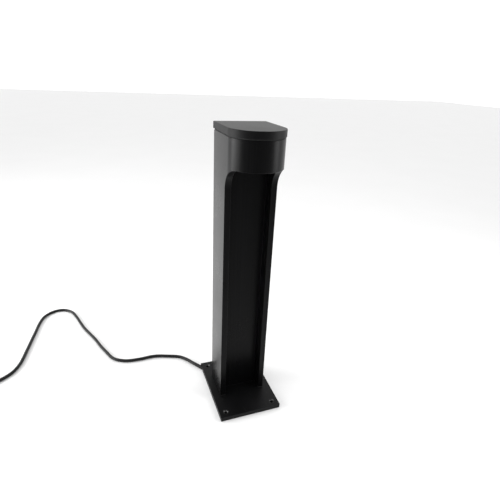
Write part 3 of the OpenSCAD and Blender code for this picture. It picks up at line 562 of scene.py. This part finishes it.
def powder_coat(name, light, dark, roughness, drawn=0):
    """Satin powder coat: fine orange peel, clouds in colour and gloss, and a trace of dust. Drawn
    is how far the upright lines of an extrusion show through it, from 0 to 1."""
    finish = Finish(name)
    clouds = finish.ramp(finish.noise(9), 0.3, 0.75)
    peel = finish.noise(1400, 2)
    specks = finish.ramp(finish.noise(900, 1), 0.7, 0.78)
    colour = finish.blend(clouds, dark, light)
    colour = finish.blend(specks * 0.02, colour, DUST)
    rough = roughness + 0.06 * clouds + 0.05 * finish.noise(160)
    if drawn:
        lines = finish.noise(420, 3, place=finish.stretched((1, 1, 0.012)))
        strong = finish.ramp(lines, 0.42, 0.72)
        colour = finish.blend(strong * drawn, colour, DRAWN_LINE)
        rough = rough + (lines - 0.5) * 0.3 * drawn
        peel = peel + 1.5 * drawn * lines
    finish.set(Base_Color=colour, Roughness=rough, Specular_Tint=PAINT_SHEEN)
    finish.bump(peel + 0.4 * finish.noise(420, 2), 0.03)
    return finish.material


def plate_finish():
    """Powder coat that is worn to the metal on the countersinks of the four anchor holes."""
    finish = Finish("plate_powder_coat")
    x, y, z = finish.axes(finish.place)
    clouds = finish.ramp(finish.noise(14), 0.3, 0.75)
    colour = finish.blend(clouds, (0.003, 0.003, 0.0032), (0.0045, 0.0045, 0.0048))
    scuffs = finish.ramp(finish.noise(260, 3, place=finish.stretched((1, 0.25, 1))), 0.66, 0.74)
    colour = finish.blend(scuffs * 0.04, colour, SCUFF)
    across, along = (place * MM for place in ANCHOR_HOLE)
    radius = ((abs(x) - across) ** 2 + (abs(y) - along) ** 2) ** 0.5
    near = radius.math_node("LESS_THAN", radius, COUNTERSINK_RADIUS * MM)
    high = z.math_node("GREATER_THAN", z, COUNTERSINK_FOOT * MM)
    worn = near * high * finish.ramp(finish.noise(500, 3), 0.3, 0.6)
    colour = finish.blend(worn * 0.7, colour, BARE_METAL)
    finish.set(
        Base_Color=colour,
        Metallic=worn * 0.9,
        Roughness=0.42 + 0.08 * clouds - 0.1 * worn,
        Specular_Tint=PAINT_SHEEN,
    )
    finish.bump(finish.noise(1200, 2) + 0.5 * scuffs, 0.03)
    return finish.material


def rubber(name, colour, dusty, roughness):
    """Matt rubber with a fine skin, a little dusty in patches."""
    finish = Finish(name)
    dust = finish.ramp(finish.noise(30, 5), 0.45, 0.8)
    finish.set(
        Base_Color=finish.blend(dust * 0.5, colour, dusty),
        Roughness=roughness + 0.12 * dust,
        Specular_IOR_Level=0.25,
    )
    finish.bump(finish.noise(1800, 3), 0.02)
    return finish.material


def plastic(name, colour, shade, roughness):
    """Moulded plastic: two close shades in slow clouds, with a fine mould grain."""
    finish = Finish(name)
    clouds = finish.ramp(finish.noise(25), 0.3, 0.7)
    finish.set(
        Base_Color=finish.blend(clouds, colour, shade),
        Roughness=roughness + 0.08 * finish.noise(90),
    )
    finish.bump(finish.noise(1500, 2), 0.02)
    return finish.material


def metal(name, colour, shade, roughness, stretch):
    """Bare metal with grain drawn out along a direction."""
    finish = Finish(name)
    grain_lines = finish.noise(700, 3, place=finish.stretched(stretch))
    stains = finish.ramp(finish.noise(60, 4), 0.4, 0.8)
    finish.set(
        Base_Color=finish.blend(stains * 0.6, colour, shade),
        Metallic=1.0,
        Roughness=roughness + 0.15 * grain_lines + 0.08 * stains,
    )
    finish.bump(grain_lines, 0.01)
    return finish.material


def galvanised():
    """Zinc-coated sheet: spangles a few millimetres across in two greys."""
    finish = Finish("galvanised_sheet")
    spangle = finish.node(
        "ShaderNodeTexVoronoi", {}, {"Vector": finish.place, "Scale": 260}, output="Color"
    )
    tone = finish.node("ShaderNodeRGBToBW", {}, {"Color": spangle})
    finish.set(
        Base_Color=finish.blend(tone, (0.42, 0.43, 0.44), (0.62, 0.63, 0.64)),
        Metallic=0.9,
        Roughness=0.35 + 0.2 * tone,
    )
    finish.bump(finish.noise(400, 3), 0.01)
    return finish.material


def frosted():
    """Frosted plastic lens: milky, with a rough face that hides what is behind it."""
    finish = Finish("frosted_lens")
    mist = finish.noise(220, 3)
    finish.set(
        Base_Color=finish.blend(mist, (0.86, 0.88, 0.88), (0.93, 0.94, 0.94)),
        Roughness=0.45 + 0.15 * mist,
        Transmission_Weight=0.55,
        IOR=1.49,
    )
    finish.bump(finish.noise(2500, 2), 0.02)
    return finish.material


def striped_core():
    """Green insulation with a yellow stripe along its upper side."""
    finish = Finish("earth_insulation")
    facing = finish.node("ShaderNodeNewGeometry", output="Normal")
    upward = finish.axes(facing)[2]
    stripe = finish.ramp(upward, 0.25, 0.35)
    finish.set(
        Base_Color=finish.blend(stripe, (0.03, 0.25, 0.05), (0.75, 0.6, 0.03)),
        Roughness=0.35 + 0.1 * finish.noise(200),
    )
    finish.bump(finish.noise(1500, 2), 0.01)
    return finish.material


cap_paint = powder_coat(
    "cap_powder_coat", (0.006, 0.006, 0.0063), (0.004, 0.004, 0.0042), roughness=0.42
)
cable_rubber = rubber("cable_rubber", (0.003, 0.003, 0.0031), (0.009, 0.009, 0.009), 0.42)
seal_rubber = rubber("seal_rubber", (0.006, 0.006, 0.006), (0.015, 0.015, 0.015), 0.65)
stainless = metal("stainless_screw", (0.55, 0.55, 0.56), (0.4, 0.4, 0.41), 0.3, (1, 1, 0.2))
brown_core = plastic("brown_insulation", (0.16, 0.06, 0.025), (0.2, 0.08, 0.035), 0.35)
blue_core = plastic("blue_insulation", (0.02, 0.09, 0.4), (0.03, 0.12, 0.46), 0.35)
black_plastic = plastic("black_plastic", (0.012, 0.012, 0.012), (0.02, 0.02, 0.02), 0.5)
white_plastic = plastic("white_driver_case", (0.74, 0.74, 0.72), (0.8, 0.8, 0.78), 0.45)
earth_finish = striped_core()

FINISHES = {
    "base_plate": plate_finish(),
    "foot_seal": seal_rubber,
    "column_body": powder_coat(
        "column_powder_coat",
        (0.003, 0.003, 0.0033),
        (0.002, 0.002, 0.0022),
        roughness=0.24,
        drawn=0.18,
    ),
    "top_cap": cap_paint,
    "cap_seal": seal_rubber,
    "cap_grub_screws": stainless,
    "column_screws": stainless,
    "heat_sink": metal(
        "heat_sink_aluminium", (0.6, 0.6, 0.61), (0.5, 0.5, 0.51), 0.35, (1, 0.1, 1)
    ),
    "heat_sink_screws": stainless,
    "led_board": plastic("white_solder_mask", (0.8, 0.8, 0.78), (0.85, 0.85, 0.84), 0.4),
    "led_emitters": plastic("yellow_phosphor", (0.8, 0.55, 0.06), (0.86, 0.64, 0.1), 0.3),
    "board_screws": stainless,
    "reflector": plastic("white_reflector", (0.84, 0.84, 0.83), (0.88, 0.88, 0.87), 0.3),
    "lens": frosted(),
    "lens_seal": plastic("silicone_seal", (0.6, 0.6, 0.58), (0.66, 0.66, 0.64), 0.6),
    "lens_frame": black_plastic,
    "lens_frame_screws": stainless,
    "panel_grommet": seal_rubber,
    "gear_tray": galvanised(),
    "gear_tray_screws": stainless,
    "driver_case": white_plastic,
    "driver_cover": white_plastic,
    "driver_board": plastic("green_laminate", (0.02, 0.16, 0.06), (0.03, 0.2, 0.08), 0.4),
    "driver_transformer": plastic("yellow_tape", (0.7, 0.52, 0.06), (0.76, 0.6, 0.1), 0.4),
    "driver_capacitors": plastic("blue_sleeve", (0.02, 0.025, 0.09), (0.03, 0.035, 0.12), 0.3),
    "driver_screws": stainless,
    "terminal_block": plastic("cream_terminal", (0.74, 0.68, 0.52), (0.8, 0.75, 0.6), 0.5),
    "terminal_screws": metal("brass_screw", (0.7, 0.5, 0.2), (0.55, 0.38, 0.15), 0.3, (1, 1, 1)),
    "cable_clamp_block": black_plastic,
    "cable_clamp_strap": black_plastic,
    "cable_clamp_screws": stainless,
    "inner_cable": cable_rubber,
    "live_core": brown_core,
    "neutral_core": blue_core,
    "earth_core": earth_finish,
    "earth_lug": metal("tinned_copper", (0.66, 0.62, 0.56), (0.5, 0.44, 0.38), 0.35, (1, 1, 1)),
    "earth_screw": stainless,
    "driver_live_lead": brown_core,
    "driver_neutral_lead": blue_core,
    "lamp_positive_lead": plastic("red_insulation", (0.4, 0.02, 0.02), (0.5, 0.03, 0.03), 0.35),
    "lamp_negative_lead": plastic(
        "black_insulation", (0.01, 0.01, 0.01), (0.02, 0.02, 0.02), 0.35
    ),
    "cable_sleeve": seal_rubber,
    "supply_cable": cable_rubber,
    "cord_ties": black_plastic,
    "end_live_core": brown_core,
    "end_neutral_core": blue_core,
    "end_earth_core": earth_finish,
    "core_ferrules": metal("tinned_ferrule", (0.7, 0.7, 0.7), (0.6, 0.6, 0.6), 0.3, (1, 1, 1)),
}
for name, material in FINISHES.items():
    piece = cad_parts.get(name) or bpy.data.objects[name]
    piece.data.materials.clear()
    piece.data.materials.append(material)

# ---------------------------------------------------------------- floor and light


FLOOR_LEVEL = -0.3


def make_floor(half):
    """A flat, pale floor with a soft, uneven tone, just under the base plate. half is half its
    width in metres."""
    mesh = bpy.data.meshes.new("floor")
    corners = np.array([(-1, -1, 0), (1, -1, 0), (1, 1, 0), (-1, 1, 0)]) * half
    mesh.from_pydata(corners + (0, 0, FLOOR_LEVEL * MM), [], [(0, 1, 2, 3)])
    floor = bpy.data.objects.new("floor", mesh)
    bpy.context.scene.collection.objects.link(floor)
    finish = Finish("pale_floor")
    tone = finish.noise(3, 3)
    colour = finish.blend(tone, (0.85, 0.85, 0.85), (0.88, 0.88, 0.88))
    finish.set(Base_Color=colour, Roughness=0.6)
    mesh.materials.append(finish.material)


def softbox(name, place, target, width, height, power):
    """A rectangular lamp at a place, facing a target, in metres and watts."""
    data = bpy.data.lights.new(name, "AREA")
    data.shape = "RECTANGLE"
    data.size = width
    data.size_y = height
    data.energy = power
    lamp = bpy.data.objects.new(name, data)
    lamp.location = place
    aim = Vector(target) - Vector(place)
    lamp.rotation_euler = aim.to_track_quat("-Z", "Y").to_euler()
    bpy.context.scene.collection.objects.link(lamp)


def studio_world(front, back, heading, low, high):
    """Even, soft light from all round that is brighter behind the light than in front of it: the
    level rises from front to back as a direction's share along heading goes from low to high."""
    world = bpy.data.worlds.new("studio")
    world.use_nodes = True
    nodes, links = world.node_tree.nodes, world.node_tree.links
    place = nodes.new("ShaderNodeTexCoord")
    along = nodes.new("ShaderNodeVectorMath")
    along.operation = "DOT_PRODUCT"
    along.inputs[1].default_value = Vector(heading).normalized()
    level = nodes.new("ShaderNodeMapRange")
    level.interpolation_type = "SMOOTHSTEP"
    for key, value in (("From Min", low), ("From Max", high), ("To Min", front), ("To Max", back)):
        level.inputs[key].default_value = value
    links.new(place.outputs["Generated"], along.inputs[0])
    links.new(along.outputs["Value"], level.inputs["Value"])
    nodes["Background"].inputs["Color"].default_value = (1, 1, 1, 1)
    links.new(level.outputs["Result"], nodes["Background"].inputs["Strength"])
    bpy.context.scene.world = world


make_floor(12)
for name, place, target, width, height, power in (
    ("left_softbox", (-1.8, 0.42, 0.62), (0, 0, 0.3), 1.5, 1.15, 36),
    ("right_softbox", (1.12, -0.58, 0.75), (0, 0, 0.35), 0.5, 1.1, 9),
    ("top_softbox", (0, 0.3, 3), (0, 0, 0), 3, 3, 4),
):
    softbox(name, place, target, width, height, power)
studio_world(front=0.58, back=1.22, heading=(-0.3, 0.95, 0.1), low=-0.8, high=0.5)
bpy.context.scene.view_settings.view_transform = "Standard"

bpy.context.view_layer.update()
